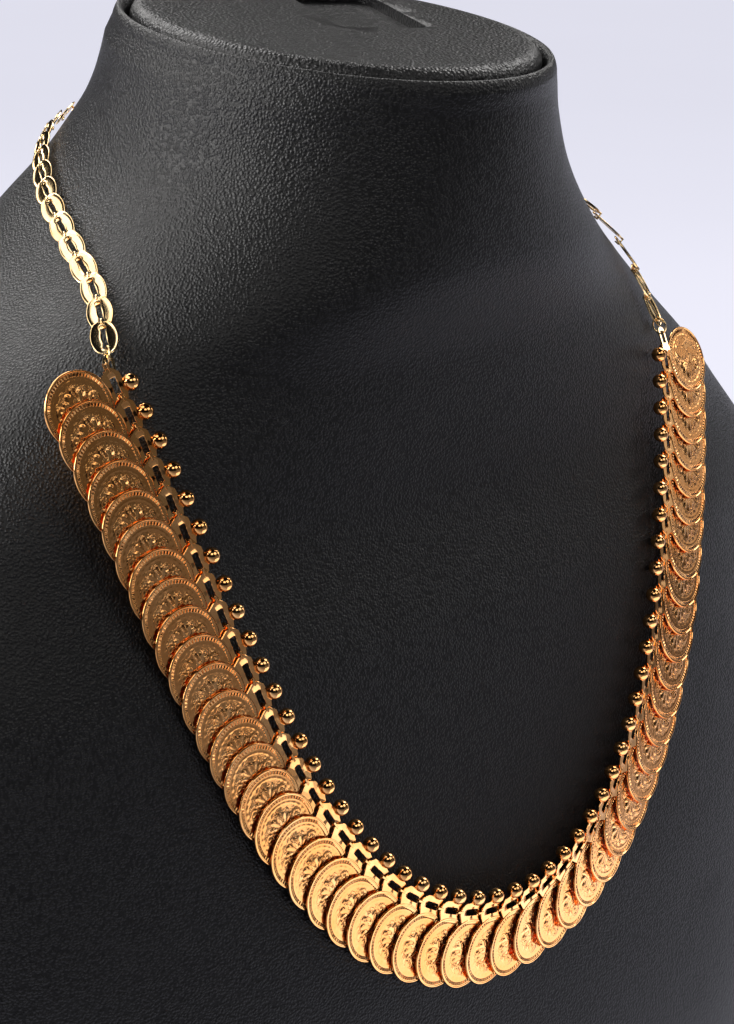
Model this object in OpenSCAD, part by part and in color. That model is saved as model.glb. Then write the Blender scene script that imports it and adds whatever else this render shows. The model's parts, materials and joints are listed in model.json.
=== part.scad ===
// A gold coin necklace worn by a leather-covered neck bust.
// Millimetres, +Z up, the viewer stands on the -Y side.
// The origin is in the middle of the face that the bust stands on.

/* [View] */
// Which piece to draw, or all of them

/* [Coin string] */
// Distance from one coin's hook to the next along the string
coin_pitch = 7.0; // [6.9:0.05:7.1]
// Diameter of one coin
coin_diameter = 17.3; // [16.5:0.1:17.6]
// Thickness of the coin's rim and of the plates
plate_thickness = 0.46; // [0.4:0.02:0.5]
// Height of the rim above the coin's field
rim_height = 0.16; // [0.1:0.02:0.2]
// Width of the coin's raised rim
rim_width = 0.5; // [0.3:0.05:0.8]
// Diameter of the ball at the inner end of each coin's neck
ball_diameter = 3.5; // [3:0.1:3.8]
// Angle by which each coin leans on the one before it
coin_tilt = 6.2; // [6:0.1:7]
// Angle by which the ball's end stands off the leather
coin_lean = 2.5; // [1.5:0.1:3.5]
// Distance from the neck's edge to the front of the necklace, measured down the bust
string_low = 105; // [100:1:110]

/* [Chain] */
// Distance from one chain link to the next
link_pitch = 8.6; // [8.5:0.05:8.7]
// Width of one chain link
link_width = 6.2; // [5.8:0.1:6.6]
// Length of one chain link
link_length = 10; // [9.95:0.05:10.1]
// Angle by which each link leans on the one before it
link_tilt = 6.3; // [6:0.1:6.6]

/* [Bust] */
// Thickness of the board under the bust
base_thickness = 8; // [5:0.5:12]
// Tilt of the neck opening, lower at the front
lip_tilt = 7; // [5:0.5:9]
// Width of the groove between the lip and the cap
groove_width = 0.9; // [0.8:0.1:1.6]

/* [Hidden] */

// Cross-sections of the bust. Columns: height, half width, front y, widest y, back y.
sections = [
    [0, 125, -71.0, -50.5, 30.5],
    [49, 147.5, -74.2, -40.0, 41.0],
    [91, 157, -72.4, -29.0, 51.5],
    [133, 164.5, -67.3, -18.0, 61.5],
    [175, 162, -61.6, -11.0, 69.0],
    [210, 139.8, -54.2, -3.5, 75.0],
    [238, 107.8, -55.5, 0, 79.5],
    [262.5, 74.5, -63.5, -2.5, 77.0],
    [283.5, 57.2, -65.5, -7.0, 63.0],
    [301, 51, -67.0, -10.0, 51.0],
    [318.5, 47, -68.5, -11.0, 46.0]
];

// Shape of the section's corners: low down the chest is squarer, the neck is an ellipse.
square_power = 2.4;
round_power = 2.0;
square_below = 252;
round_above = 294;

// Neck opening: the bust's rings tilt with it more and more above tilt_above, and the skin's
// last ring lies lip_rise below the lip
tilt_above = 150;
lip_rise = 4;
lip_centre = [0, -11.7, 311.3];
lip_half_width = 47.5;
lip_half_depth = 57.8;
lip_roll = 3;
lip_depth = 8.5;

// Cap in the opening, with a finger recess that is turned on its top
cap_centre = [0, -12.1, 312.6];
cap_tilt = 6.3;
cap_half_width = lip_half_width - lip_roll - groove_width;
cap_half_depth = lip_half_depth - lip_roll - groove_width;
cap_edge = 3.5;
cap_height = 6.5;
recess_size = [22, 42, 2.5];
recess_corner = [-3.7, -6.4];
recess_turn = -24;

// How finely the bust is drawn
bust_levels = 34;
bust_sides = 64;
bust_gap = 0.2;

// The string: which place on it hangs at the bust's middle, and how its two sides rise
coin_count = 50;
middle_place = 27.26;
steepest = 77;
rise_reach = 10.25;
side_turn = 0.10;
turn_reach = 3;
low_lean = 0.02;
lean_rate = 0.0115;
end_lean = 0.014;
lean_start = 20.5;
string_height = 3.55;
chain_height = 2.3;

// Coins
coin_centre = [0.05, -1.48] * coin_pitch;
coin_radius = coin_diameter / 2;
field_thickness = plate_thickness - rim_height;
ball_place = [0, 0.53 * coin_pitch, 0.3];
ball_radius = ball_diameter / 2;
// The relief: a fine circle, and a flower of petals round a heart
relief_height = 0.12;
circle_radius = 0.76 * coin_radius;
circle_width = 0.26;
petals = 8;
petal_place = 0.42 * coin_radius;
petal_radius = 1.1;
heart_radius = 1.6;

// Outline of a coin's neck, as shares of the coin pitch. Columns: along the string, across it.
neck_outline = [
    [-0.50, -0.42],
    [-0.70, -0.06],
    [-0.68, 0.10],
    [-0.47, 0.31],
    [-0.22, 0.34],
    [-0.13, 0.49],
    [0.13, 0.49],
    [0.22, 0.34],
    [0.42, 0.28],
    [0.45, 0.03],
    [0.40, -0.42]
] * coin_pitch;
neck_edge = -0.69 * coin_pitch;
raised_end = -1.6;
slot_start = -2.5;
slot_end = 1.6;
slot_width = 1.6;

// Hooks: each piece has one, which goes down through the slot of the piece before it, hook_gap
// from the slot's end, and back under the bar, hook_drop below it
hook_width = 0.5;
hook_leg = 0.4;
hook_gap = 0.2;
hook_drop = 0.3;
tongue_root = 0.6;
hook_shift = 0.15;
hook_reach = 1.0;

// Chain links
link_thickness = 0.4;
link_slot_end = 3.75;
link_eye = 0.8;
link_waist = 0.9;
link_side_radius = 9;
tongue = 0.7;

// End plates: each has a slot for the string's end, a cross bar and a rounded end at its ring
plate_width = 2.6;
bar_width = 3.2;
bar_length = 1.1;
plate_front = -2.7;
left_plate_tail = 2.0;
left_plate_slot = [-1.7, 0.6];
left_plate_gap = coin_pitch - slot_end + left_plate_slot[1];
left_plate_way = [0.28, 0.73, 0.62];
right_plate_way = [0.12, 0.31, 0.94];
right_plate_tail = 3.6;
right_plate_slot = [-0.8, 2.6];
right_plate_gap = 4.22;
right_hook_step = 0.02;
plate_tilt = 12;

// Rings: their wire stands wire_place inside the ends of the slots that they pass through
ring_wire = 0.25;
ring_side = 0.35;
ring_lean = 12;
wire_place = 0.64;

// Clasp
clasp_body = [9, 6.4, 3];
clasp_bar = 0.85;
clasp_slot = 1.5;
clasp_least = 13.5;
clasp_slot_play = 0.15;
clasp_hook_share = 0.9;

// How many half links on either side count in a link's way of facing
link_reach = 4;
step = 0.01;
round_faces = 48;

// ---- The bust's surface

last_row = len(sections) - 1;

function rise_between(i, c) =
    (sections[i + 1][c] - sections[i][c]) / (sections[i + 1][0] - sections[i][0]);

// Slope of column c at row i, flat where the column turns back
function grade(i, c) =
    i == 0 ? rise_between(0, c)
    : i == last_row ? rise_between(last_row - 1, c)
    : let (before = rise_between(i - 1, c), after = rise_between(i, c))
        before * after <= 0 ? 0 : 2 * before * after / (before + after);

grades = [for (i = [0:last_row]) [for (c = [0:4]) c == 0 ? 0 : grade(i, c)]];

function row_below(h) =
    min(last_row - 1, max(0, len([for (row = sections) if (row[0] <= h) 1]) - 1));

// One column of the sections table at height h, on a smooth curve through the rows
function column(h, i, c) =
    let (
        span = sections[i + 1][0] - sections[i][0],
        t = (h - sections[i][0]) / span,
        t2 = t * t,
        t3 = t2 * t
    )
    (2 * t3 - 3 * t2 + 1) * sections[i][c] + (t3 - 2 * t2 + t) * span * grades[i][c]
        + (3 * t2 - 2 * t3) * sections[i + 1][c] + (t3 - t2) * span * grades[i + 1][c];

// Half width, front y, widest y and back y at height h
function section_at(h) =
    let (z = min(sections[last_row][0], max(0, h)), i = row_below(z))
    [for (c = [1:4]) column(z, i, c)];

function power_at(h) =
    square_power - (square_power - round_power)
        * min(1, max(0, (h - square_below) / (round_above - square_below)));

// 1 on the leather, more outside it
function fullness(p) =
    let (
        s = section_at(p[2]),
        e = power_at(p[2]),
        depth = p[1] < s[2] ? s[2] - s[1] : s[3] - s[2],
        a = abs(p[0]) / s[0],
        b = abs(p[1] - s[2]) / depth
    )
    pow(pow(a, e) + pow(b, e), 1 / e);

function slope_of_fullness(p) =
    [for (k = [0:2])
        let (d = [for (j = [0:2]) j == k ? step : 0])
        (fullness(p + d) - fullness(p - d)) / (2 * step)];

// Point of the leather at the height of p, straight out from the bust's middle
function on_leather(p) =
    let (s = section_at(p[2]), g = fullness(p))
    [p[0] / g, s[2] + (p[1] - s[2]) / g, p[2]];

function front_y(x, z) =
    let (s = section_at(z), e = power_at(z))
    s[2] - (s[2] - s[1]) * pow(1 - pow(abs(x) / s[0], e), 1 / e);

function unit(v) = v / norm(v);

// Point at x on a piece that is tilted in frame f
function along(f, tilt, x) = f[0] + x * (cos(tilt) * f[1] - sin(tilt) * f[3]);

// ---- Places on the leather

function leather_normal(p) = unit(slope_of_fullness(p));

// Frame at p: x along t, z along the normal n
function frame_of(p, t, n) =
    let (x = unit(t - n * (t * n)), y = cross(n, x))
    [p, x, y, n];

// Weights of a soft average over the places from -reach to reach
function soft(j, reach) = 1 + cos(180 * j / (reach + 1));

function total(v, i = 0) = i == len(v) - 1 ? v[i] : v[i] + total(v, i + 1);

module at_frame(f, lean, tilt)
    multmatrix([for (k = [0:2]) [f[1][k], f[2][k], f[3][k], f[0][k]]])
        rotate([lean, tilt, 0])
            children();

// ---- The string's course

function heading(s) =
    let (e = exp(2 * s / rise_reach))
    steepest * (e - 1) / (e + 1);

// The way that the coins face turns slowly from the string's middle, outwards and upwards
function facing(s) =
    unit([side_turn * s / sqrt(s * s + turn_reach * turn_reach), -1,
        low_lean + lean_rate * abs(s) + end_lean * max(0, -s - lean_start)]);

function string_direction(s) =
    let (a = heading(s), n = facing(s))
    unit([cos(a), -(cos(a) * n[0] + sin(a) * n[2]) / n[1], sin(a)]);

string_start = [0, front_y(0, string_low) - string_height, string_low];

// Places of one side's coins, the first of which is first pitches from the middle
function side(way, first, count) =
    [for (k = 0, q = string_start + string_direction(way * first / 2) * way * first * coin_pitch;
        k < count;
        q = q + string_direction(way * (first + k + 0.5)) * way * coin_pitch, k = k + 1) q];

left_count = floor(middle_place);
left_side = side(-1, middle_place - left_count, left_count);
right_side = side(1, left_count + 1 - middle_place, coin_count - left_count);

// Coins are counted from the viewer's left
coin_frames = [for (i = [0:coin_count - 1])
    let (s = i + 1 - middle_place)
    frame_of(i < left_count ? left_side[left_count - 1 - i] : right_side[i - left_count],
        string_direction(s), facing(s))];

// ---- The chain's course

// Points on the leather that the chain passes on its way round the neck, from the viewer's left
chain_course = [
    [-81.0, -16.8, 258.8],
    [-74.5, -1.5, 265.6],
    [-68.0, 12.0, 271.0],
    [-63.1, 21.5, 274.4],
    [-53.0, 37.5, 280.0],
    [-38.0, 51.0, 284.0],
    [-20.0, 60.0, 286.0],
    [0, 63.0, 286.5],
    [20.0, 60.0, 286.0],
    [37.0, 50.0, 285.0],
    [49.0, 34.0, 283.5],
    [56.0, 17.0, 281.5],
    [60.0, 1.0, 278.0],
    [63.5, -13.0, 272.0],
    [68.0, -25.0, 263.5],
    [73.5, -34.0, 253.5],
    [79.5, -40.0, 243.0]
];

first_frame = coin_frames[0];
last_frame = coin_frames[coin_count - 1];
left_plate = frame_of(first_frame[0] + unit(left_plate_way) * left_plate_gap, -left_plate_way,
    unit(first_frame[3] + leather_normal(first_frame[0])));
right_plate = frame_of(last_frame[0] + unit(right_plate_way) * right_plate_gap, right_plate_way,
    last_frame[3]);

first_joint = along(left_plate, plate_tilt, plate_front - ring_side);
last_joint = along(right_plate, plate_tilt, right_plate_tail + ring_side);

raised_course = [for (p = chain_course)
    let (q = on_leather(p))
    q + leather_normal(q) * chain_height];

// The course starts and ends at the rings, straight towards its next point
course = concat(
    [2 * first_joint - raised_course[0], first_joint],
    raised_course,
    [last_joint, 2 * last_joint - raised_course[len(raised_course) - 1]]
);
course_steps = 12;

function between(a, b, c, d, t) =
    let (t2 = t * t, t3 = t2 * t)
    (2 * b + (c - a) * t + (2 * a - 5 * b + 4 * c - d) * t2 + (3 * b - a - 3 * c + d) * t3) / 2;

trail = [for (i = [1:len(course) - 3])
    for (k = [0:course_steps - (i == len(course) - 3 ? 0 : 1)])
        between(course[i - 1], course[i], course[i + 1], course[i + 2], k / course_steps)];

trail_run = [for (i = 0, r = 0;
    i < len(trail);
    i = i + 1, r = i < len(trail) ? r + norm(trail[i] - trail[i - 1]) : r) r];
trail_length = trail_run[len(trail) - 1];

trail_tables = [for (c = [0:2]) [for (i = [0:len(trail) - 1]) [trail_run[i], trail[i][c]]]];

function trail_at(d) = [for (c = [0:2]) lookup(d, trail_tables[c])];

function trail_normal(d) =
    d < 0 ? first_frame[3]
    : d > trail_length ? last_frame[3]
    : leather_normal(trail_at(d));

// Frame of a piece that reaches from one joint of the trail to the next, around the distance d,
// facing back towards the viewer's left end
function trail_frame(d, half) =
    let (
        a = trail_at(d - half),
        b = trail_at(d + half),
        t = unit(a - b),
        n = total([for (j = [-link_reach:link_reach])
            trail_normal(d + j * link_pitch / 2) * soft(j, link_reach)])
    )
    frame_of((a + b) / 2, t, unit(n - t * (t * n)));

first_link = link_length / 2 + ring_side;
link_count = floor((trail_length - 2 * first_link + link_pitch - clasp_least) / link_pitch / 2);
clasp_half = trail_length / 2 - first_link - (link_count - 0.5) * link_pitch;

clasp_tilt = asin(link_pitch / 2 * sin(link_tilt) / clasp_half);

function left_link(k) = trail_frame(first_link + link_pitch * k, link_pitch / 2);

function right_link(k) = trail_frame(trail_length - first_link - link_pitch * k, link_pitch / 2);

// The wires of the two rings pass through these places of a plate and of a link
ring_ends = [
    [
        along(left_plate, plate_tilt, left_plate_slot[0] + wire_place),
        along(left_link(0), link_tilt, link_slot_end - wire_place)
    ],
    [
        along(right_link(0), link_tilt, wire_place - link_slot_end),
        along(right_plate, plate_tilt, right_plate_slot[1] - wire_place)
    ]
];

// ---- Pieces

function superellipse(s, e, a) =
    let (
        depth = sin(a) < 0 ? s[2] - s[1] : s[3] - s[2],
        c = cos(a),
        d = sin(a)
    )
    [s[0] * sign(c) * pow(abs(c), 2 / e), s[2] + depth * sign(d) * pow(abs(d), 2 / e)];

// Turns a ring's flat point about the lip's middle by the tilt that belongs to its height
function skin_point(a, h) =
    let (
        t = min(1, max(0, (h - tilt_above) / (lip_centre[2] - tilt_above))),
        slant = tan(lip_tilt * t * t * (3 - 2 * t)),
        flat = superellipse(section_at(h), power_at(h), a),
        z = h + (flat[1] - lip_centre[1]) * slant,
        q = superellipse(section_at(z), power_at(z), a)
    )
    [q[0], q[1], z];

function lip_point(a, inset, rise) =
    [(lip_half_width - inset) * cos(a),
        lip_centre[1] + (lip_half_depth - inset) * sin(a) * cos(lip_tilt) - rise * sin(lip_tilt),
        lip_centre[2] + (lip_half_depth - inset) * sin(a) * sin(lip_tilt) + rise * cos(lip_tilt)];

function cap_point(a, inset, rise) =
    [(cap_half_width - inset) * cos(a),
        cap_centre[1] + (cap_half_depth - inset) * sin(a) * cos(cap_tilt) - rise * sin(cap_tilt),
        cap_centre[2] + (cap_half_depth - inset) * sin(a) * sin(cap_tilt) + rise * cos(cap_tilt)];

// The lip's profile. Columns: inset from the lip's outer edge, rise above its top.
lip_profile = [
    [0, -lip_roll],
    [0.4, -1.2],
    [1.4, -0.2],
    [lip_roll * 0.6, 0],
    [lip_roll, -1.2],
    [lip_roll, -lip_depth]
];

// Joins closed rings of points into one solid with flat ends
module ringed(rings) {
    n = len(rings[0]);
    last = len(rings) - 1;
    polyhedron(
        points = [for (r = rings) for (p = r) p],
        faces = concat(
            [[for (k = [0:n - 1]) k]],
            [[for (k = [n - 1:-1:0]) last * n + k]],
            [for (i = [0:last - 1])
                for (k = [0:n - 1])
                    let (a = i * n + k, b = i * n + (k + 1) % n)
                    each [[a, b + n, b], [a, a + n, b + n]]]
        )
    );
}

angles = [for (k = [0:bust_sides - 1]) 360 * (k + 0.5) / bust_sides];

module bust_body()
    color([0.07, 0.07, 0.08]) {
        low = base_thickness + bust_gap;
        high = lip_centre[2] - lip_roll - lip_rise;
        ringed(concat(
            [for (i = [0:bust_levels])
                let (h = low + (high - low) * i / bust_levels)
                [for (a = angles) skin_point(a, h)]],
            [for (r = lip_profile) [for (a = angles) lip_point(a, r[0], r[1])]]
        ));
    }

module bust_cap()
    color([0.1, 0.1, 0.11])
        difference() {
            ringed(concat(
                [[for (a = angles) cap_point(a, cap_edge / 2, -cap_height)]],
                [for (t = [0:22.5:90])
                    [for (a = angles)
                        cap_point(a, cap_edge * (1 - cos(t)), cap_edge * (sin(t) - 1))]]
            ));
            translate(cap_centre)
                rotate([cap_tilt, 0, 0])
                    translate([recess_corner[0], recess_corner[1], -recess_size[2]])
                        rotate([0, 0, recess_turn])
                            cube([recess_size[0], recess_size[1], recess_size[2] * 2]);
        }

module base_plate()
    color([0.12, 0.11, 0.1])
        linear_extrude(base_thickness)
            polygon([for (a = angles) superellipse(section_at(0), square_power, a)]);

// A hook from the plate's edge at x, down through a slot and back under its bar. The plate is
// thick, the plate below it lies lower by drop, and the bar under it is bar_thick.
module hook(x, y, thick, drop, bar_thick) {
    foot = -drop - bar_thick / 2 - hook_drop;
    translate([x - hook_leg, y - hook_width / 2, foot - hook_leg])
        cube([hook_leg, hook_width, thick / 2 - foot + hook_leg]);
    translate([x - hook_leg, y - hook_width / 2, foot - hook_leg])
        cube([hook_leg + hook_reach, hook_width, hook_leg]);
}

// A strip from a to b along x with round ends
module stadium(a, b, r) {
    translate([a, -r])
        square([b - a, 2 * r]);
    for (x = [a, b])
        translate([x, 0])
            circle(r, $fn = round_faces);
}

module coin_neck()
    polygon(neck_outline);

module coin_unit() {
    low = -plate_thickness / 2;
    field = low + field_thickness;
    hook_x = slot_end - coin_pitch * cos(coin_tilt) - hook_gap;
    // the flat plate and disc
    translate([0, 0, low])
        linear_extrude(field_thickness)
            difference() {
                union() {
                    coin_neck();
                    translate(coin_centre)
                        circle(coin_radius, $fn = round_faces);
                }
                translate([slot_start, -slot_width / 2])
                    square([slot_end - slot_start, slot_width]);
            }
    // the coin's rim
    translate([coin_centre[0], coin_centre[1], low])
        difference() {
            cylinder(plate_thickness, r = coin_radius, $fn = round_faces);
            translate([0, 0, -1])
                cylinder(plate_thickness + 2, r = coin_radius - rim_width, $fn = round_faces);
        }
    // the fine raised circle and the flower inside it
    translate([coin_centre[0], coin_centre[1], low]) {
        difference() {
            cylinder(field_thickness + relief_height, r = circle_radius, $fn = round_faces);
            translate([0, 0, -1])
                cylinder(3, r = circle_radius - circle_width, $fn = round_faces);
        }
        for (k = [1:petals])
            rotate(360 * k / petals)
                translate([petal_place, 0, 0])
                    cylinder(field_thickness + relief_height, r = petal_radius,
                        $fn = round_faces);
        cylinder(field_thickness + relief_height, r = heart_radius, $fn = round_faces);
    }
    // the neck's raised leading edge
    translate([0, 0, low])
        linear_extrude(plate_thickness)
            intersection() {
                difference() {
                    coin_neck();
                    translate([rim_width, 0])
                        coin_neck();
                    translate([coin_centre[0], coin_centre[1]])
                        circle(coin_radius - rim_width, $fn = round_faces);
                }
                translate([-coin_pitch, -coin_pitch])
                    square([coin_pitch + raised_end, 2 * coin_pitch]);
            }
    translate(ball_place)
        sphere(ball_radius, $fn = round_faces);
    // the tongue over the slot of the coin before, and its hook
    translate([hook_x - hook_leg, hook_shift - hook_width / 2, low])
        cube([neck_edge - hook_x + hook_leg + tongue_root, hook_width, plate_thickness]);
    hook(hook_x, hook_shift, plate_thickness, coin_pitch * sin(coin_tilt), plate_thickness);
}

module coin_string(first, last)
    color([0.86, 0.62, 0.3])
        for (i = [first:last])
            at_frame(coin_frames[i], coin_lean, coin_tilt)
                coin_unit();

module coin_string_left()
    coin_string(0, coin_count / 2 - 1);

module coin_string_right()
    coin_string(coin_count / 2, coin_count - 1);

module link_unit(hooked) {
    r = link_width / 2;
    half = link_length / 2;
    eye = link_slot_end - link_eye;
    translate([0, 0, -link_thickness / 2])
        linear_extrude(link_thickness)
            difference() {
                intersection() {
                    stadium(r - half, half - r, r);
                    for (y = [-1, 1])
                        translate([0, y * (link_side_radius - r)])
                            circle(link_side_radius, $fn = round_faces);
                }
                for (x = [-eye, eye])
                    translate([x, 0])
                        circle(link_eye, $fn = round_faces);
                square([eye * 2, link_waist], center = true);
            }
    if (hooked) {
        translate([-half - tongue, -hook_width / 2, -link_thickness / 2])
            cube([2 * tongue, hook_width, link_thickness]);
        hook(hook_leg - half - tongue, 0, link_thickness, link_pitch * sin(link_tilt),
            link_thickness);
    }
}

// A plate from front to tail, round at the end that is at round_end, with a cross bar at bar
module end_plate(front, tail, slot, bar, round_end)
    translate([0, 0, -plate_thickness / 2])
        linear_extrude(plate_thickness)
            difference() {
                union() {
                    translate([min(front, tail), -plate_width / 2])
                        square([tail - front, plate_width]);
                    translate([round_end, 0])
                        circle(plate_width / 2, $fn = round_faces);
                    translate([bar, -bar_width / 2])
                        square([bar_length, bar_width]);
                }
                translate([slot[0], -slot_width / 2])
                    square([slot[1] - slot[0], slot_width]);
            }

module end_plate_left()
    color([0.86, 0.66, 0.36])
        at_frame(left_plate, 0, plate_tilt)
            end_plate(plate_front + plate_width / 2, left_plate_tail, left_plate_slot,
                left_plate_tail - bar_length, plate_front + plate_width / 2);

module end_plate_right()
    color([0.86, 0.66, 0.36])
        at_frame(right_plate, coin_lean, plate_tilt) {
            end_plate(plate_front, right_plate_tail - plate_width / 2, right_plate_slot,
                plate_front, right_plate_tail - plate_width / 2);
            hook(plate_front + right_hook_step, 0, plate_thickness, coin_pitch * sin(coin_tilt),
                plate_thickness);
        }

// A ring whose wire passes through two points, leaning from the normal n
module jump_ring(ends, n) {
    span = ends[1] - ends[0];
    side = unit(cross(n, span));
    at_frame([(ends[0] + ends[1]) / 2, unit(span), side, unit(cross(span, side))], ring_lean, 0)
        rotate([90, 0, 0])
            rotate_extrude($fn = round_faces)
                translate([norm(span) / 2, 0])
                    circle(ring_wire, $fn = round_faces);
}

module chain_left()
    color([0.88, 0.72, 0.42]) {
        jump_ring(ring_ends[0], left_plate[3] + left_link(0)[3]);
        for (k = [0:link_count - 1])
            at_frame(left_link(k), 0, link_tilt)
                link_unit(true);
    }

module chain_right()
    color([0.88, 0.72, 0.42]) {
        jump_ring(ring_ends[1], right_plate[3] + right_link(0)[3]);
        for (k = [0:link_count - 1])
            at_frame(right_link(k), 0, link_tilt)
                link_unit(k > 0);
    }

module clasp()
    color([0.88, 0.72, 0.42])
        at_frame(trail_frame(trail_length / 2, clasp_half), 0, clasp_tilt) {
            reach = clasp_half + clasp_bar;
            slot_far = clasp_half - clasp_bar + clasp_slot_play;
            translate([-reach, -plate_width / 2, -plate_thickness / 2])
                difference() {
                    cube([2 * reach, plate_width, plate_thickness]);
                    translate([reach + slot_far - clasp_slot, (plate_width - slot_width) / 2, -1])
                        cube([clasp_slot, slot_width, 3]);
                }
            translate([-clasp_body[0] / 2, -clasp_body[1] / 2, -plate_thickness / 2])
                cube(clasp_body);
            hook(-reach, 0, plate_thickness, link_pitch * sin(link_tilt) * clasp_hook_share,
                link_thickness);
        }

base_plate();
bust_body();
bust_cap();
coin_string_left();
coin_string_right();
end_plate_left();
end_plate_right();
chain_left();
chain_right();
clasp();
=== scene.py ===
"""A gold coin necklace on a leather-covered neck bust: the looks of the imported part."""

import json
import math

import bmesh
import bpy
import numpy as np
from bpy.props import FloatProperty, FloatVectorProperty, IntProperty, PointerProperty
from mathutils import Matrix, Vector

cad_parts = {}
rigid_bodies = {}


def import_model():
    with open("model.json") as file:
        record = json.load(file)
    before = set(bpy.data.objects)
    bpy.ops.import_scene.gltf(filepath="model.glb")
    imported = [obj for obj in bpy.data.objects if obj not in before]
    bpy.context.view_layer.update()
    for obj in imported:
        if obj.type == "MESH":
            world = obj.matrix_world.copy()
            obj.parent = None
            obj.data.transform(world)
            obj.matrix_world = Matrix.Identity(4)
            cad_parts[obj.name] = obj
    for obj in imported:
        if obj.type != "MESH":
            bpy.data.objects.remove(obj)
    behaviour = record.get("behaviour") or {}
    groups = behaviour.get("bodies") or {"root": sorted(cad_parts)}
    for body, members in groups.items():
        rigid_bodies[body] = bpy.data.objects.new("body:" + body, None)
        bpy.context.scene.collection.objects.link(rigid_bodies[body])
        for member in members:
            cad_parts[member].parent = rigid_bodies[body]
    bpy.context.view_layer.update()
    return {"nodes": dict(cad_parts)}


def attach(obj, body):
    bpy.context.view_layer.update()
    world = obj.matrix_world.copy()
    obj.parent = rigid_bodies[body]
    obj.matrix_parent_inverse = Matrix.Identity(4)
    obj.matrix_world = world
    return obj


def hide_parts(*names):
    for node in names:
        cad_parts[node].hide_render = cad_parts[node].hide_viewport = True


bl_info = {
    "name": "Coin Necklace on Neck Bust",
    "version": (1, 0, 0),
    "blender": (4, 5, 0),
    "location": "3D View > Sidebar > Necklace",
    "description": "Builds a coin necklace on a black neck bust, with a chain and a studio",
    "category": "Add Mesh",
}

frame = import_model()

MM = 0.001

# ---- The bust's shape, in millimetres

# Columns: height, half width, front y, widest y, back y
SECTIONS = np.array([
    (0, 125, -71, -50.5, 30.5),
    (49, 147.5, -74.2, -40, 41),
    (91, 157, -72.4, -29, 51.5),
    (133, 164.5, -67.3, -18, 61.5),
    (175, 162, -61.6, -11, 69),
    (210, 139.8, -54.2, -3.5, 75),
    (238, 107.8, -55.5, 0, 79.5),
    (262.5, 74.5, -63.5, -2.5, 77),
    (283.5, 57.2, -65.5, -7, 63),
    (301, 51, -67, -10, 51),
    (318.5, 47, -68.5, -11, 46),
], dtype=float)
SQUARE_POWER, ROUND_POWER = 2.4, 2.0
SQUARE_BELOW, ROUND_ABOVE = 252, 294
LIP_CENTRE = np.array([0, -11.7, 311.3])
LIP_HALF = (47.5, 57.8)
LIP_TILT = math.radians(7)
LIP_ROLL, LIP_DEPTH, LIP_RISE = 3, 8.5, 4
GROOVE_WIDTH = 0.9
TILT_ABOVE = 150
CAP_CENTRE = np.array([0, -12.1, 312.6])
CAP_TILT = math.radians(6.3)
CAP_HALF = tuple(half - LIP_ROLL - GROOVE_WIDTH for half in LIP_HALF)
CAP_EDGE, CAP_HEIGHT = 3.5, 6.5
RECESS_SIZE, RECESS_CORNER, RECESS_TURN = (22, 42, 2.5), (-3.7, -6.4), -24
RECESS_ROUNDING = 2.0
BASE_TOP = 8.2

# ---- The necklace's course, in millimetres and degrees

COIN_COUNT, MIDDLE_PLACE, PITCH = 50, 27.26, 7.0
COIN_TILT, COIN_LEAN = 6.2, 2.5
COIN_CENTRE, COIN_RADIUS = np.array([0.35, -10.36]), 8.65
COIN_BACK, COIN_FIELD, NECK_RISE = -0.23, 0.07, 0.05
BALL_CENTRE, BALL_RADIUS = (0, 0.53 * PITCH, 0.3), 1.95
TONGUE_WIDTH, HOOK_THICKNESS, HOOK_REACH, HOOK_DROP, HOOK_INSET = 0.5, 0.4, 1.4, 0.3, 0.2
STEEPEST, RISE_REACH = 77, 10.25
STRING_LOW, STRING_HEIGHT = 105, 3.55
LINK_PITCH, LINK_LENGTH, LINK_WIDTH, LINK_TILT = 8.6, 10.0, 6.2, 6.3
LINK_SLOT_END, LINK_EYE, LINK_WAIST, LINK_SIDE = 3.75, 0.8, 0.45, 9.0
LINK_TONGUE, LINK_DROP, LINK_BACK = 0.7, 0.5, -0.2
CHAIN_HEIGHT = 2.3
RING_SIDE, RING_WIRE, RING_LEAN = 0.35, 0.25, 12
PLATE_TILT, PLATE_FRONT = 12, -2.7
WIRE_PLACE = 0.64
LEFT_PLATE_GAP, RIGHT_PLATE_GAP = 6.0, 4.22
LEFT_PLATE_WAY = np.array([0.28, 0.73, 0.62])
RIGHT_PLATE_WAY = np.array([0.12, 0.31, 0.94])
RIGHT_PLATE_TAIL = 3.6
LEFT_SLOT_FRONT, RIGHT_SLOT_END = -1.7, 2.6
CLASP_LEAST = 13.5

# Points on the leather that the chain passes, from the viewer's left
CHAIN_COURSE = np.array([
    (-81, -16.8, 258.8), (-74.5, -1.5, 265.6), (-68, 12, 271), (-63.1, 21.5, 274.4),
    (-53, 37.5, 280), (-38, 51, 284), (-20, 60, 286), (0, 63, 286.5), (20, 60, 286),
    (37, 50, 285), (49, 34, 283.5), (56, 17, 281.5), (60, 1, 278), (63.5, -13, 272),
    (68, -25, 263.5), (73.5, -34, 253.5), (79.5, -40, 243),
], dtype=float)


def unit(v):
    return v / np.linalg.norm(v)


def grades():
    """Slope of each section column at each row, flat where the column turns back."""
    h = SECTIONS[:, 0]
    rise = np.diff(SECTIONS, axis=0) / np.diff(h)[:, None]
    before, after = rise[:-1], rise[1:]
    turns = before * after <= 0
    inner = np.where(turns, 0, 2 * before * after / np.where(turns, 1, before + after))
    return np.vstack([rise[:1], inner, rise[-1:]])


GRADES = grades()


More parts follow.
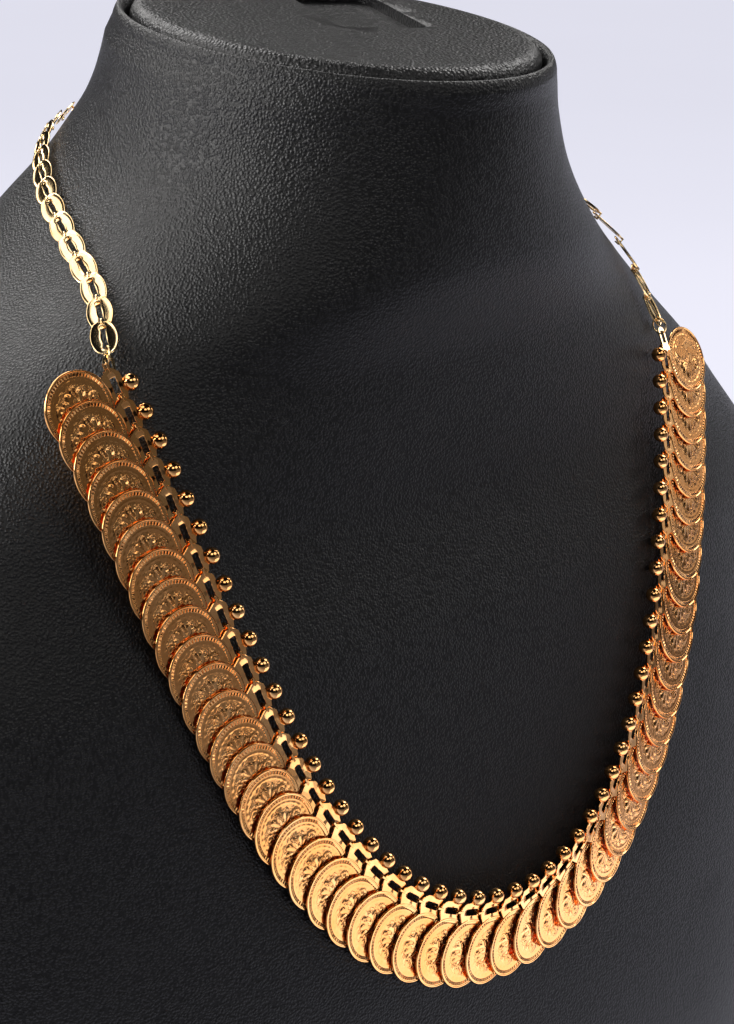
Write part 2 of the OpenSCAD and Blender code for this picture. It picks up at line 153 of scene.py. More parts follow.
def section_at(h):
    """Half width, front y, widest y and back y at the heights h."""
    h = np.clip(np.asarray(h, dtype=float), 0, SECTIONS[-1, 0])
    i = np.clip(np.searchsorted(SECTIONS[:, 0], h, side="right") - 1, 0, len(SECTIONS) - 2)
    low, high = SECTIONS[i, 1:], SECTIONS[i + 1, 1:]
    span = (SECTIONS[i + 1, 0] - SECTIONS[i, 0])[..., None]
    t = (h[..., None] - SECTIONS[i, 0][..., None]) / span
    return ((2 * t**3 - 3 * t**2 + 1) * low + (t**3 - 2 * t**2 + t) * span * GRADES[i, 1:]
            + (3 * t**2 - 2 * t**3) * high + (t**3 - t**2) * span * GRADES[i + 1, 1:])


def power_at(h):
    t = np.clip((np.asarray(h, dtype=float) - SQUARE_BELOW) / (ROUND_ABOVE - SQUARE_BELOW), 0, 1)
    return SQUARE_POWER - (SQUARE_POWER - ROUND_POWER) * t


def superellipse(h, a):
    """Points of the sections at the heights h, in the directions a."""
    s, e = section_at(h), power_at(h)
    c, d = np.cos(a), np.sin(a)
    depth = np.where(d < 0, s[..., 2] - s[..., 1], s[..., 3] - s[..., 2])
    x = s[..., 0] * np.sign(c) * np.abs(c) ** (2 / e)
    y = s[..., 2] + depth * np.sign(d) * np.abs(d) ** (2 / e)
    return x, y


def skin_ring(a, h):
    """One ring of the skin, turned by the tilt that belongs to its height."""
    t = min(1, max(0, (h - TILT_ABOVE) / (LIP_CENTRE[2] - TILT_ABOVE)))
    slant = math.tan(LIP_TILT * t * t * (3 - 2 * t))
    flat = superellipse(np.full_like(a, h), a)
    z = h + (flat[1] - LIP_CENTRE[1]) * slant
    x, y = superellipse(z, a)
    return np.stack([x, y, z], axis=-1)


def rim_ring(a, centre, half, tilt, inset, rise):
    """One ring round the neck opening or the cap."""
    depth = (half[1] - inset) * np.sin(a)
    return np.stack([
        (half[0] - inset) * np.cos(a),
        centre[1] + depth * math.cos(tilt) - rise * math.sin(tilt),
        centre[2] + depth * math.sin(tilt) + rise * math.cos(tilt),
    ], axis=-1)


def fullness(p):
    """1 on the leather, more outside it."""
    s, e = section_at(p[..., 2]), power_at(p[..., 2])
    depth = np.where(p[..., 1] < s[..., 2], s[..., 2] - s[..., 1], s[..., 3] - s[..., 2])
    a = np.abs(p[..., 0]) / s[..., 0]
    b = np.abs(p[..., 1] - s[..., 2]) / depth
    return (a**e + b**e) ** (1 / e)


def leather_normal(p):
    step = 0.01
    slope = [fullness(p + d) - fullness(p - d) for d in np.eye(3) * step]
    return unit(np.array(slope))


def on_leather(p):
    s, g = section_at(p[2]), fullness(p)
    return np.array([p[0] / g, s[2] + (p[1] - s[2]) / g, p[2]])


def frame_of(p, along, normal):
    """Axes of a piece at p: x along its string, z along the normal."""
    x = unit(along - normal * (along @ normal))
    return p, x, np.cross(normal, x), normal


# ---- The string of coins and the chain


def facing(s):
    lean = 0.02 + 0.0115 * abs(s) + 0.014 * max(0, -s - 20.5)
    return unit(np.array([0.10 * s / math.sqrt(s * s + 9), -1, lean]))


def string_direction(s):
    a = math.radians(STEEPEST * math.tanh(s / RISE_REACH))
    n = facing(s)
    return unit(np.array([math.cos(a), -(math.cos(a) * n[0] + math.sin(a) * n[2]) / n[1],
                          math.sin(a)]))


def string_side(way, first, count):
    start = section_at(STRING_LOW)
    q = np.array([0, start[1] - STRING_HEIGHT, STRING_LOW])
    q = q + string_direction(way * first / 2) * way * first * PITCH
    places = []
    for k in range(count):
        places.append(q)
        q = q + string_direction(way * (first + k + 0.5)) * way * PITCH
    return places


def coin_frames():
    left_count = math.floor(MIDDLE_PLACE)
    left = string_side(-1, MIDDLE_PLACE - left_count, left_count)
    right = string_side(1, left_count + 1 - MIDDLE_PLACE, COIN_COUNT - left_count)
    places = left[::-1] + right
    return [frame_of(p, string_direction(i + 1 - MIDDLE_PLACE), facing(i + 1 - MIDDLE_PLACE))
            for i, p in enumerate(places)]


def along(f, tilt, x):
    t = math.radians(tilt)
    return f[0] + x * (math.cos(t) * f[1] - math.sin(t) * f[3])


class Necklace:
    """The places of all the necklace's pieces."""

    def __init__(self):
        self.coins = coin_frames()
        first, last = self.coins[0], self.coins[-1]
        self.left_plate = frame_of(first[0] + unit(LEFT_PLATE_WAY) * LEFT_PLATE_GAP,
                                   -LEFT_PLATE_WAY, unit(first[3] + leather_normal(first[0])))
        self.right_plate = frame_of(last[0] + unit(RIGHT_PLATE_WAY) * RIGHT_PLATE_GAP,
                                    RIGHT_PLATE_WAY, last[3])
        start = along(self.left_plate, PLATE_TILT, PLATE_FRONT - RING_SIDE)
        end = along(self.right_plate, PLATE_TILT, RIGHT_PLATE_TAIL + RING_SIDE)
        raised = [on_leather(p) + leather_normal(on_leather(p)) * CHAIN_HEIGHT
                  for p in CHAIN_COURSE]
        course = [2 * start - raised[0], start, *raised, end, 2 * end - raised[-1]]
        self.trail = smooth_course(course, 12)
        steps = np.linalg.norm(np.diff(self.trail, axis=0), axis=1)
        self.run = np.concatenate([[0], np.cumsum(steps)])
        self.length = self.run[-1]
        first_link = LINK_LENGTH / 2 + RING_SIDE
        free = self.length - 2 * first_link + LINK_PITCH - CLASP_LEAST
        count = math.floor(free / LINK_PITCH / 2)
        half = LINK_PITCH / 2
        self.left_links = [self.link(first_link + LINK_PITCH * k, half) for k in range(count)]
        self.right_links = [self.link(self.length - first_link - LINK_PITCH * k, half)
                            for k in range(count)]
        end_bar = LINK_SLOT_END - WIRE_PLACE
        self.rings = [
            (along(self.left_plate, PLATE_TILT, LEFT_SLOT_FRONT + WIRE_PLACE),
             along(self.left_links[0], LINK_TILT, end_bar),
             self.left_plate[3] + self.left_links[0][3]),
            (along(self.right_links[0], LINK_TILT, -end_bar),
             along(self.right_plate, PLATE_TILT, RIGHT_SLOT_END - WIRE_PLACE),
             self.right_plate[3] + self.right_links[0][3]),
        ]

    def at(self, d):
        return np.array([np.interp(d, self.run, self.trail[:, c]) for c in range(3)])

    def normal(self, d):
        if d < 0:
            return self.coins[0][3]
        if d > self.length:
            return self.coins[-1][3]
        return leather_normal(self.at(d))

    def link(self, d, half):
        """Frame of a piece that reaches from one joint of the trail to the next."""
        reach = 4
        a, b = self.at(d - half), self.at(d + half)
        t = unit(a - b)
        n = sum(self.normal(d + j * LINK_PITCH / 2) * (1 + math.cos(math.pi * j / (reach + 1)))
                for j in range(-reach, reach + 1))
        return frame_of((a + b) / 2, t, unit(n - t * (t @ n)))


def smooth_course(course, steps):
    points = []
    for i in range(1, len(course) - 2):
        a, b, c, d = course[i - 1:i + 3]
        last = i == len(course) - 3
        for k in range(steps + last):
            t = k / steps
            points.append((2 * b + (c - a) * t + (2 * a - 5 * b + 4 * c - d) * t**2
                           + (3 * b - a - 3 * c + d) * t**3) / 2)
    return np.array(points)


# ---- Meshes, in millimetres until they are finished


def loft(bm, rings, closed=False, start_cap=False, end_cap=False, art=None):
    """Bends a grid round so that each of its rows lies on one ring of points.

    A closed loft runs from its last ring back to its first.
    """
    rows, sides = rings.shape[:2]
    spans = rows if closed else rows - 1
    grid = bmesh.ops.create_grid(bm, x_segments=sides, y_segments=spans, size=1)["verts"]
    layer = bm.verts.layers.float_vector.get("art")
    kept, welded = {}, {}
    for vert in grid:
        row = round((vert.co.y + 1) / 2 * spans) % rows
        column = round((vert.co.x + 1) / 2 * sides) % sides
        if (row, column) in kept:
            welded[vert] = kept[row, column]
            continue
        kept[row, column] = vert
        vert.co = rings[row, column]
        if art is not None:
            vert[layer] = art[row, column]
    bmesh.ops.weld_verts(bm, targetmap=welded)
    for wanted, row in ((start_cap, 0), (end_cap, rows - 1)):
        if wanted:
            loop = [bm.edges.get((kept[row, k], kept[row, (k + 1) % sides]))
                    for k in range(sides)]
            bmesh.ops.edgeloop_fill(bm, edges=loop)


def ball(bm, centre, radius, sides):
    """A round ball with as many points round it as sides."""
    bmesh.ops.create_uvsphere(bm, u_segments=sides, v_segments=sides // 2 + 2, radius=radius,
                              matrix=Matrix.Translation(centre))


def edges_of(verts):
    """The edges at the vertices, each once and always in the same order."""
    return list(dict.fromkeys(edge for vert in verts for edge in vert.link_edges))


def box(bm, x, y, z, bevel=0.06):
    """A box between the given limits, with small bevels."""
    low, high = (Vector((x[k], y[k], z[k])) for k in (0, 1))
    place = Matrix.Translation((low + high) / 2) @ Matrix.Diagonal((*(high - low), 1))
    verts = bmesh.ops.create_cube(bm, size=1, matrix=place)["verts"]
    bmesh.ops.bevel(bm, geom=edges_of(verts), offset=bevel, segments=1, profile=0.5,
                    affect="EDGES", material=-1)


def place_matrix(f, lean, tilt):
    """Moves a piece to the frame f, leaned about its x and then tilted about its y."""
    axes = Matrix([Vector(axis) for axis in f[1:]]).transposed().to_4x4()
    return (Matrix.Translation(f[0]) @ axes @ Matrix.Rotation(math.radians(tilt), 4, "Y")
            @ Matrix.Rotation(math.radians(lean), 4, "X"))


def as_mesh(bm, name):
    mesh = bpy.data.meshes.new(name)
    bm.to_mesh(mesh)
    bm.free()
    return mesh


def in_scene(name, data):
    obj = bpy.data.objects.new(name, data)
    bpy.context.scene.collection.objects.link(obj)
    return obj


def repeat(bm, mesh, places):
    """Adds a copy of the mesh at each place, each (frame, lean, tilt)."""
    for place in places:
        before = len(bm.verts)
        bm.from_mesh(mesh)
        bm.verts.ensure_lookup_table()
        bmesh.ops.transform(bm, matrix=place_matrix(*place), verts=bm.verts[before:])
    bpy.data.meshes.remove(mesh)


def finished(bm, name, smooth_angle=0.9):
    """A mesh object at the origin, in metres, with its faces outward."""
    bmesh.ops.recalc_face_normals(bm, faces=bm.faces)
    bmesh.ops.scale(bm, verts=bm.verts, vec=[MM] * 3)
    for face in bm.faces:
        face.smooth = True
    for edge in bm.edges:
        edge.smooth = len(edge.link_faces) == 2 and edge.calc_face_angle() < smooth_angle
    return in_scene(name, as_mesh(bm, name))


def dress(obj, material, slot, *nodes):
    """Gives a new piece its material and hides the CAD nodes that it stands for; its slot is not
    used.
    """
    obj.data.materials.clear()
    obj.data.materials.append(material)
    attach(obj, "root")
    if nodes:
        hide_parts(*nodes)


# ---- Shaders


class Value:
    """A shader socket or number that can be used in sums."""

    def __init__(self, shader, socket):
        self.shader, self.socket = shader, socket

    def math(self, operation, other, clamp=False):
        return self.shader.math(operation, self, other, clamp)

    def __add__(self, other):
        return self.math("ADD", other)

    __radd__ = __add__

    def __sub__(self, other):
        return self.math("SUBTRACT", other)

    def __rsub__(self, other):
        return self.shader.math("SUBTRACT", other, self)

    def __mul__(self, other):
        return self.math("MULTIPLY", other)

    __rmul__ = __mul__

    def __truediv__(self, other):
        return self.math("DIVIDE", other)

    def __rtruediv__(self, other):
        return self.shader.math("DIVIDE", other, self)

    def clamp(self):
        return self.math("ADD", 0, clamp=True)

    def smooth(self, low, high):
        """0 below low, 1 above high, smooth between."""
        return self.shader.smooth(self, low, high)


class Shader:
    """Builds one material around a Principled BSDF."""

    def __init__(self, name):
        self.material = bpy.data.materials.new(name)
        self.material.use_nodes = True
        self.tree = self.material.node_tree
        self.bsdf = self.tree.nodes["Principled BSDF"]
        self.place = self.node("ShaderNodeTexCoord")["Object"]

    def node(self, kind, inputs=None, **settings):
        """A node with its settings and inputs; returns its outputs by name."""
        node = self.tree.nodes.new(kind)
        for key, value in settings.items():
            setattr(node, key, value)
        for key, value in (inputs or {}).items():
            self.join(value, node.inputs[key])
        return {o.name: Value(self, o) for o in node.outputs if o.enabled}

    def join(self, value, socket):
        if isinstance(value, Value):
            self.tree.links.new(value.socket, socket)
        elif value is not None:
            socket.default_value = value

    def math(self, operation, a, b=None, clamp=False):
        inputs = {i: v for i, v in enumerate((a, b)) if v is not None}
        return self.node("ShaderNodeMath", inputs, operation=operation, use_clamp=clamp)["Value"]

    def smooth(self, value, low, high):
        return self.node("ShaderNodeMapRange", {"Value": value, "From Min": low,
                                                "From Max": high},
                         interpolation_type="SMOOTHSTEP")["Result"]

    def noise(self, scale, detail=3.0, roughness=0.5, at=None, warp=0.0):
        return self.node("ShaderNodeTexNoise", {
            "Vector": at or self.place, "Scale": scale, "Detail": detail,
            "Roughness": roughness, "Distortion": warp})["Fac"]

    def cells(self, scale, at=None, feature="F1"):
        return self.node("ShaderNodeTexVoronoi", {"Vector": at or self.place, "Scale": scale},
                         feature=feature)["Distance"]

    def warped(self, scale, amount):
        """The place, pushed about by noise."""
        push = self.node("ShaderNodeTexNoise", {"Vector": self.place, "Scale": scale,
                                                "Detail": 2.0})["Color"]
        push = self.node("ShaderNodeVectorMath", {0: push, 1: (0.5, 0.5, 0.5)},
                         operation="SUBTRACT")["Vector"]
        push = self.node("ShaderNodeVectorMath", {0: push, "Scale": amount},
                         operation="SCALE")["Vector"]
        return self.node("ShaderNodeVectorMath", {0: self.place, 1: push},
                         operation="ADD")["Vector"]

    def split(self, vector):
        parts = self.node("ShaderNodeSeparateXYZ", {"Vector": vector})
        return parts["X"], parts["Y"], parts["Z"]

    def attribute(self, name):
        return self.node("ShaderNodeAttribute", attribute_name=name)["Vector"]

    def mix(self, share, a, b):
        """Colour a where share is 0, b where it is 1."""
        node = self.tree.nodes.new("ShaderNodeMix")
        node.data_type = "RGBA"
        self.join(share, node.inputs["Factor"])
        for value, socket in ((a, node.inputs[6]), (b, node.inputs[7])):
            self.join(value if isinstance(value, Value) else (*value, 1.0), socket)
        return Value(self, node.outputs[2])

    def bump(self, height, strength, distance, normal=None):
        return self.node("ShaderNodeBump", {"Height": height, "Strength": strength,
                                            "Distance": distance, "Normal": normal})["Normal"]

    def set(self, **inputs):
        for key, value in inputs.items():
            socket = self.bsdf.inputs[key.replace("_", " ")]
            if isinstance(value, tuple):
                value = (*value, 1.0)
            self.join(value, socket)
        return self.material


def leather_material(name, settings, grain_share, roughness):
    """Black pebbled leatherette: fine cells between creases, with scuffs and dust, and painted
    shade between the pebbles.
    """
    s = Shader(name)
    grain = settings.grain * grain_share
    place = s.warped(500.0, 0.0005)
    pebbles = s.cells(1000.0 / grain, at=place).smooth(0.75, 0.1)
    fine = s.cells(2100.0 / grain, at=place, feature="DISTANCE_TO_EDGE").smooth(0.0, 0.35)
    folds = s.noise(55.0, 3.0, 0.55)
    broad = s.noise(16.0, 2.0, 0.5)
    normal = s.bump(broad, 0.45, 0.0018)
    normal = s.bump(folds, 0.35, 0.0006, normal)
    normal = s.bump(pebbles * 0.85 + fine * 0.15, settings.grain_depth, 0.00030, normal)
    scuff = s.noise(40.0, 5.0, 0.65, warp=0.6).smooth(0.55, 0.78)
    dust = s.cells(260.0).smooth(0.040, 0.018) * s.noise(9.0).smooth(0.52, 0.64)
    # painted shade: the pebbles' colour darkens to the crease colour between them
    shade = s.mix(pebbles, tuple(settings.crease_shade), tuple(settings.leather))
    shade = s.mix(scuff * 0.35, shade, (0.018, 0.018, 0.020))
    shade = s.mix(dust * 0.5, shade, (0.12, 0.12, 0.13))
    rough = roughness + broad * 0.08 + scuff * 0.08 - pebbles * 0.08
    return s.set(Base_Color=shade, Roughness=rough, Normal=normal, Specular_IOR_Level=0.42)


def coin_material(name, settings):
    """Stamped gold: a ring of dashes, fine circles and chased foliage between them, with a deep
    red painted shade on the field round the foliage and between the dashes.
    """
    s = Shader(name)
    x, y, face = s.split(s.attribute("art"))
    radius = s.math("SQRT", x * x + y * y)
    turn = s.math("ARCTAN2", y, x)
    on_coin = face.smooth(0.95, 1.0)
    dash_band = radius.smooth(0.835, 0.85) * radius.smooth(0.935, 0.92)
    dashes = s.math("SINE", turn * 60) * dash_band
    flat = s.node("ShaderNodeCombineXYZ", {"X": x, "Y": y, "Z": 0.0})["Vector"]
    veins = s.noise(3.8, 3.0, 0.5, at=flat, warp=1.3)
    inner = radius.smooth(0.74, 0.52)
    foliage = veins.smooth(0.47, 0.56) * inner
    scratches = s.noise(420.0, 3.0, 0.7, warp=0.8)
    wear = s.noise(110.0, 4.0, 0.6)
    normal = s.bump((dashes * 1.1 + foliage * 0.8) * on_coin, 0.9, 0.00018)
    normal = s.bump(scratches, 0.08, 0.00003, normal)
    normal = s.bump(wear, 0.16, 0.00012, normal)
    colour = s.mix(wear.smooth(0.3, 0.7), tuple(settings.red_gold), tuple(settings.gold))
    # painted shade: the field round the foliage and the troughs between the dashes are darkened
    # towards a deep red
    low = ((1 - foliage) * radius.smooth(0.86, 0.80) * on_coin - dashes).clamp()
    colour = s.mix(low * 0.36, colour, tuple(settings.painted_shade))
    rough = 0.10 + wear * 0.07 + low * 0.04
    return s.set(Base_Color=colour, Roughness=rough, Metallic=1.0, Normal=normal)


def polished_material(name, settings):
    """Plain polished gold with faint scratches and tarnish."""
    s = Shader(name)
    wear = s.noise(160.0, 4.0, 0.6)
    scratches = s.noise(520.0, 3.0, 0.7, warp=0.8)
    normal = s.bump(wear, 0.18, 0.00010)
    normal = s.bump(scratches, 0.06, 0.00003, normal)
    colour = s.mix(wear.smooth(0.35, 0.75), tuple(settings.gold), tuple(settings.tarnish))
    return s.set(Base_Color=colour, Roughness=settings.roughness + wear * 0.08, Metallic=1.0,
                 Normal=normal)


def board_material(name):
    """A board covered in matt black paper, scuffed at its edge."""
    s = Shader(name)
    fibre = s.noise(700.0, 3.0, 0.6, warp=0.5)
    scuff = s.noise(60.0, 5.0, 0.65).smooth(0.58, 0.75)
    shade = s.mix(scuff * 0.5, (0.013, 0.012, 0.012), (0.05, 0.045, 0.04))
    return s.set(Base_Color=shade, Roughness=0.6 + scuff * 0.2,
                 Normal=s.bump(fibre, 0.3, 0.00008))


def floor_material(name, tint, glow):
    """A pale seamless sheet that glows. Only what it lights sees the glow fade in front."""
    s = Shader(name)
    _, y, _ = s.split(s.place)
    tone = s.noise(2.2, 3.0, 0.5)
    grain = s.noise(400.0, 2.0)
    colour = s.mix(tone, tuple(0.97 * c for c in tint), tint)
    seen = s.node("ShaderNodeLightPath")["Is Camera Ray"]
    fade = s.math("MAXIMUM", y.smooth(-0.45, 0.1) * 0.92 + 0.08, seen)
    glowing = s.mix(fade, (0, 0, 0), colour)
    return s.set(Base_Color=colour, Roughness=0.8 + tone * 0.1, Emission_Color=glowing,
                 Emission_Strength=glow, Normal=s.bump(grain, 0.1, 0.0001))


# ---- Pieces


def ring_angles(count):
    return (np.arange(count) + 0.5) * 2 * math.pi / count


def bust_skin(settings):
    """The leather from the board up to the groove round the cap."""
    a = ring_angles(settings.sides)
    heights = np.linspace(BASE_TOP, LIP_CENTRE[2] - LIP_ROLL - LIP_RISE, settings.levels)
    rings = [skin_ring(a, h) for h in heights]
    # the lip rolls over from the outer face into the groove round the cap
    for t in np.linspace(0, math.pi, 13):
        inset = LIP_ROLL / 2 * (1 - math.cos(t))
        rise = -LIP_ROLL + LIP_ROLL * math.sin(t) * (0.35 + 0.65 * math.sin(t))
        rings.append(rim_ring(a, LIP_CENTRE, LIP_HALF, LIP_TILT, inset, rise))
    for rise in (-LIP_ROLL - 1.5, -LIP_DEPTH):
        rings.append(rim_ring(a, LIP_CENTRE, LIP_HALF, LIP_TILT, LIP_ROLL, rise))
    bm = bmesh.new()
    loft(bm, np.array(rings), start_cap=True, end_cap=True)
    return finished(bm, "bust_leather")


def cap_cushion(settings):
    """The padded cap with a rolled edge and a sunk finger recess."""
    a = ring_angles(settings.sides)
    rings = [rim_ring(a, CAP_CENTRE, CAP_HALF, CAP_TILT, CAP_EDGE / 2, -CAP_HEIGHT)]
    rings.append(rim_ring(a, CAP_CENTRE, CAP_HALF, CAP_TILT, 0.2, -CAP_EDGE - 1.5))
    for t in np.radians(np.linspace(0, 90, 9)):
        rings.append(rim_ring(a, CAP_CENTRE, CAP_HALF, CAP_TILT, CAP_EDGE * (1 - math.cos(t)),
                              CAP_EDGE * (math.sin(t) - 1)))
    for inset in (6, 12, 20, 30, 38):
        rings.append(rim_ring(a, CAP_CENTRE, CAP_HALF, CAP_TILT, inset, 0))
    bm = bmesh.new()
    loft(bm, np.array(rings), start_cap=True, end_cap=True)
    cap = finished(bm, "bust_cap_leather")
    cutter = recess_cutter()
    cut = cap.modifiers.new("recess", "BOOLEAN")
    cut.operation = "DIFFERENCE"
    cut.object = cutter
    cut.solver = "EXACT"
    result = bpy.data.meshes.new_from_object(
        cap.evaluated_get(bpy.context.evaluated_depsgraph_get()))
    cap.modifiers.clear()
    cap.data = result
    bpy.data.objects.remove(cutter)
    return cap


def recess_cutter():
    """A block with rounded upright corners, half sunk into the cap."""
    width, length, depth = RECESS_SIZE
    bm = bmesh.new()
    place = Matrix.Translation((width / 2, length / 2, 0))
    bmesh.ops.create_cube(bm, size=1.0,
                          matrix=place @ Matrix.Diagonal((width, length, depth * 2, 1)))
    upright = [e for e in bm.edges if abs(e.verts[0].co.z - e.verts[1].co.z) > 1]
    bmesh.ops.bevel(bm, geom=upright, offset=RECESS_ROUNDING, segments=4, profile=0.5,
                    affect="EDGES", material=-1)
    turn = Matrix.Rotation(math.radians(RECESS_TURN), 4, "Z")
    tilt = Matrix.Rotation(CAP_TILT, 4, "X")
    bmesh.ops.transform(bm, verts=bm.verts, matrix=Matrix.Translation(CAP_CENTRE) @ tilt
                        @ Matrix.Translation((*RECESS_CORNER, 0)) @ turn)
    bmesh.ops.scale(bm, verts=bm.verts, vec=[MM] * 3)
    return in_scene("recess_cutter", as_mesh(bm, "recess_cutter"))


# The relief, in mm of height and in shares of the coin's radius. Petals: direction in degrees
# and reach
RIM_RISE, PETAL_RISE, CURL_RISE, EYE_RISE, BEAD_RISE, DISH = 0.13, 0.24, 0.16, 0.20, 0.12, 0.14
PETALS = ((90, 0.50), (60, 0.46), (120, 0.46), (30, 0.42), (150, 0.42))
PETAL_WIDTH, PETAL_FOOT = 0.10, 0.10
CURL_PLACE, CURL_RADIUS = (0.50, 0.12), 0.13
BEAD_COUNT, BEAD_RING = 26, 0.74


def coin_height(share, turn):
    """Height of the coin's face above its field in mm: a lotus between two curled leaves.

    The lotus opens towards the coin before, where the next coin leaves it bare.
    """
    rim = RIM_RISE * smooth_step(share, 0.957, 0.968) * smooth_step(share, 1.0, 0.988)
    x, y = share * np.sin(turn), -share * np.cos(turn)
    relief = np.zeros_like(turn)
    for way, reach in PETALS:
        a = math.radians(way)
        u = x * math.cos(a) + (y - PETAL_FOOT) * math.sin(a)
        v = -x * math.sin(a) + (y - PETAL_FOOT) * math.cos(a)
        swell = np.sqrt(np.clip(np.sin(np.pi * np.clip(u / reach, 0, 1)), 0, 1))
        crown = np.sqrt(np.clip(1 - (v / (PETAL_WIDTH * swell + 0.004)) ** 2, 0, 1))
        relief = np.maximum(relief, PETAL_RISE * crown * (u > 0) * (u < reach))
    for way in (-1, 1):
        curl = np.hypot(x - way * CURL_PLACE[0], y - CURL_PLACE[1])
        leaf = CURL_RISE * np.exp(-((curl - CURL_RADIUS) / 0.03) ** 2)
        eye = EYE_RISE * smooth_step(curl, 0.08, 0.04)
        relief = np.maximum(relief, np.maximum(leaf, eye))
    beads = np.cos(BEAD_COUNT * turn) * 0.5 + 0.5
    beads = BEAD_RISE * smooth_step(beads, 0.4, 0.8) * np.exp(-((share - BEAD_RING) / 0.02) ** 2)
    dish = DISH * (share**2 - 0.5)
    return dish + rim + np.maximum(relief * smooth_step(share, 0.72, 0.68), beads)


def smooth_step(x, low, high):
    t = np.clip((x - low) / (high - low), 0, 1)
    return t * t * (3 - 2 * t)


def coin_unit(settings):
    """One coin with its neck, ball and hook; its back is plain."""
    bm = bmesh.new()
    bm.verts.layers.float_vector.new("art")
    n = settings.sides
    a = ring_angles(n)
    inner = np.concatenate([[0.05, 0.12], np.linspace(0.18, 0.80, settings.rings - 2)])
    shares = np.concatenate([inner, [0.94, 0.956, 0.968, 0.978, 0.99, 1.0]])
    rings = [coin_ring(a, share, COIN_FIELD + coin_height(share, a)) for share in shares]
    art = [np.stack([np.cos(a) * share, np.sin(a) * share, np.ones(n)], axis=-1)
           for share in shares]
    for share, z in ((1.0, COIN_BACK + 0.08), (0.985, COIN_BACK), (0.5, COIN_BACK)):
        rings.append(coin_ring(a, share, np.full(n, z)))
        art.append(np.zeros((n, 3)))
    loft(bm, np.array(rings), start_cap=True, end_cap=True, art=np.array(art))
    neck_plate(bm, COIN_BACK, COIN_FIELD + NECK_RISE)
    ball(bm, BALL_CENTRE, BALL_RADIUS, settings.ball_sides)
    stem(bm)
    return as_mesh(bm, "coin")


def coin_ring(a, share, z):
    r = share * COIN_RADIUS
    return np.stack([COIN_CENTRE[0] + r * np.cos(a), COIN_CENTRE[1] + r * np.sin(a), z], axis=-1)


# Outline of a coin's neck, as shares of the pitch. Columns: along the string, across it
NECK = np.array([
    (-0.50, -0.42), (-0.70, -0.06), (-0.68, 0.10), (-0.47, 0.31), (-0.22, 0.34), (-0.13, 0.49),
    (0.13, 0.49), (0.22, 0.34), (0.42, 0.28), (0.45, 0.03), (0.40, -0.42),
]) * PITCH
# The slot in the neck. Columns: start, end and half width
SLOT = (-2.6, 1.6, 0.8)


def slot_loop(count):
    """Points round the slot, one for each point of the outline around it."""
    start, end, half = SLOT
    middle = (start + end) / 2
    a = np.arctan2(*(resampled(NECK, count) - [middle, 0]).T[::-1])
    reach = 1 / np.maximum(np.abs(np.cos(a)) / ((end - start) / 2), np.abs(np.sin(a)) / half)
    return np.stack([middle + np.cos(a) * reach, np.sin(a) * reach], axis=-1)


def resampled(loop, count):
    closed = np.vstack([loop, loop[:1]])
    run = np.concatenate([[0], np.cumsum(np.linalg.norm(np.diff(closed, axis=0), axis=1))])
    d = np.linspace(0, run[-1], count, endpoint=False)
    return np.stack([np.interp(d, run, closed[:, c]) for c in (0, 1)], axis=-1)


def neck_plate(bm, low, high):
    """The pierced plate, with its edges rounded over."""
    count = 44
    outer, inner = resampled(NECK, count), slot_loop(count)
    out = outer - inner
    out = out / np.linalg.norm(out, axis=1)[:, None]
    levels = [
        (outer - out * 0.06, low), (outer, low + 0.06), (outer, high - 0.08),
        (outer - out * 0.09, high), (inner + out * 0.10, high), (inner, high - 0.08),
        (inner, low + 0.08), (inner + out * 0.1, low),
    ]
    rings = [np.column_stack([p, np.full(count, z)]) for p, z in levels]
    loft(bm, np.array(rings), closed=True)


def stem(bm):
    """The folded tongue that grips the coin before, and its hook below."""
    turn = math.radians(COIN_TILT)
    hook_x = SLOT[1] - PITCH * math.cos(turn) - HOOK_INSET
    foot = COIN_BACK - PITCH * math.sin(turn) - HOOK_DROP
    back = hook_x - HOOK_THICKNESS
    y = (-0.1, TONGUE_WIDTH - 0.1)
    box(bm, (back, 0.9 - 0.69 * PITCH), y, (COIN_BACK, -COIN_BACK))
    box(bm, (back, hook_x), y, (foot - HOOK_THICKNESS, 0.2))
    box(bm, (back, back + HOOK_REACH), y, (foot - HOOK_THICKNESS, foot))


def coin_strings(settings):
    """The two halves of the string, from the viewer's left."""
    coins = Necklace().coins
    half = COIN_COUNT // 2
    made = []
    for name, frames in (("coins_left", coins[:half]), ("coins_right", coins[half:])):
        bm = bmesh.new()
        repeat(bm, coin_unit(settings), [(f, COIN_LEAN, COIN_TILT) for f in frames])
        made.append(finished(bm, name, 0.7))
    return made


def edge_of(a, inside):
    """Points in the directions a at the edge of a shape round the middle, found by halving."""
    low, high = np.zeros_like(a), np.full_like(a, LINK_LENGTH)
    for _ in range(40):
        middle = (low + high) / 2
        within = inside(np.abs(np.cos(a) * middle), np.abs(np.sin(a) * middle))
        low, high = np.where(within, middle, low), np.where(within, high, middle)
    return np.stack([np.cos(a) * low, np.sin(a) * low], axis=-1)


def link_outline(count):
    """A leaf-shaped oval, from two arcs with rounded ends."""
    a = ring_angles(count)
    half, r = LINK_LENGTH / 2, LINK_WIDTH / 2
    return edge_of(a, lambda x, y: (np.hypot(np.maximum(x - (half - r), 0), y) < r)
                   & (np.hypot(x, y + LINK_SIDE - r) < LINK_SIDE))


def link_slot(count):
    """The hourglass slot: two eyes joined by a narrow waist."""
    a = ring_angles(count)
    eye = LINK_SLOT_END - LINK_EYE

    def inside(x, y):
        opening = np.clip((x - 1.2) / (eye - 1.2), 0, 1) ** 2
        reach = LINK_WAIST + (LINK_EYE - LINK_WAIST) * opening
        return np.where(x < eye, y < reach, np.hypot(x - eye, y) < LINK_EYE)

    return edge_of(a, inside)


